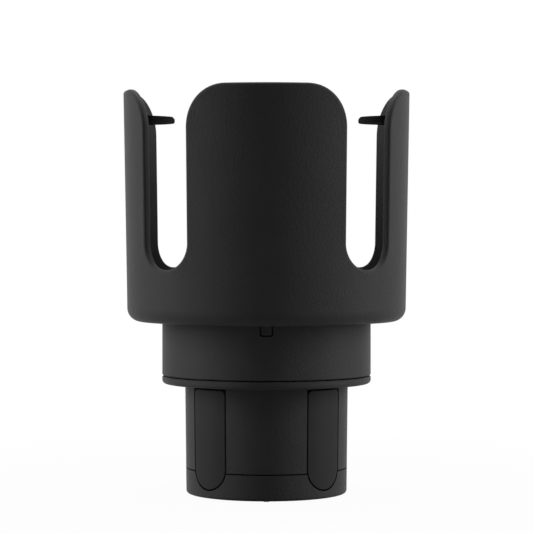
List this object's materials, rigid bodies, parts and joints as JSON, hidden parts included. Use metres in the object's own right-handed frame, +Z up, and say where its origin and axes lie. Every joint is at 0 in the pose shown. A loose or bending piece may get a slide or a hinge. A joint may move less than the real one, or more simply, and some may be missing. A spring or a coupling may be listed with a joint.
{
  "type": "cup holder adapter",
  "caption": "Slotted cup on an expanding plug base: the base drops into a vehicle's cup holder and a twist of the cup drives its feet outward to grip.",
  "frame": {"origin": "middle of the base's flat underside", "axes": "+Z up along the axis of the cup and base, -Y towards the front panel, with a panel on each of X and Y"},
  "size_m": [0.1114, 0.1114, 0.1559],
  "materials": {
    "moulded_plastic": "fine matt grain, black",
    "soft_rubber": "satin black",
    "plated_steel": "zinc plated"
  },
  "bodies": {
    "base": {"base_sleeve": "moulded_plastic", "base_cap": "moulded_plastic", "cap_screws": "plated_steel", "pivot_screw": "plated_steel", "pivot_washer": "plated_steel"},
    "cup": {"cup_body": "moulded_plastic", "cup_mat": "soft_rubber", "collar": "moulded_plastic", "scroll_plate": "moulded_plastic", "cup_screws": "plated_steel", "grip_fin_front": "soft_rubber", "grip_fin_right": "soft_rubber", "grip_fin_back": "soft_rubber", "grip_fin_left": "soft_rubber"},
    "foot_back_right": {"foot_slider_back_right": "moulded_plastic", "foot_pad_back_right": "soft_rubber"},
    "foot_back_left": {"foot_slider_back_left": "moulded_plastic", "foot_pad_back_left": "soft_rubber"},
    "foot_front_left": {"foot_slider_front_left": "moulded_plastic", "foot_pad_front_left": "soft_rubber"},
    "foot_front_right": {"foot_slider_front_right": "moulded_plastic", "foot_pad_front_right": "soft_rubber"}
  },
  "joints": [
    {"name": "cup_twist", "type": "hinge", "parent": "base", "child": "cup", "pos_m": [0, 0, 0.0459], "axis": [0, 0, -1], "range_deg": [0, 100]},
    {"name": "foot_slide_back_right", "type": "slide", "parent": "base", "child": "foot_back_right", "axis": [0.7071, 0.7071, 0], "range_m": [0, 0.009]},
    {"name": "foot_slide_back_left", "type": "slide", "parent": "base", "child": "foot_back_left", "axis": [-0.7071, 0.7071, 0], "range_m": [0, 0.009]},
    {"name": "foot_slide_front_left", "type": "slide", "parent": "base", "child": "foot_front_left", "axis": [-0.7071, -0.7071, 0], "range_m": [0, 0.009]},
    {"name": "foot_slide_front_right", "type": "slide", "parent": "base", "child": "foot_front_right", "axis": [0.7071, -0.7071, 0], "range_m": [0, 0.009]}
  ],
  "couplings": [
    {"joint": "foot_slide_back_right", "follows": "cup_twist", "m_per_rad": 0.0051566},
    {"joint": "foot_slide_back_left", "follows": "cup_twist", "m_per_rad": 0.0051566},
    {"joint": "foot_slide_front_left", "follows": "cup_twist", "m_per_rad": 0.0051566},
    {"joint": "foot_slide_front_right", "follows": "cup_twist", "m_per_rad": 0.0051566}
  ]
}
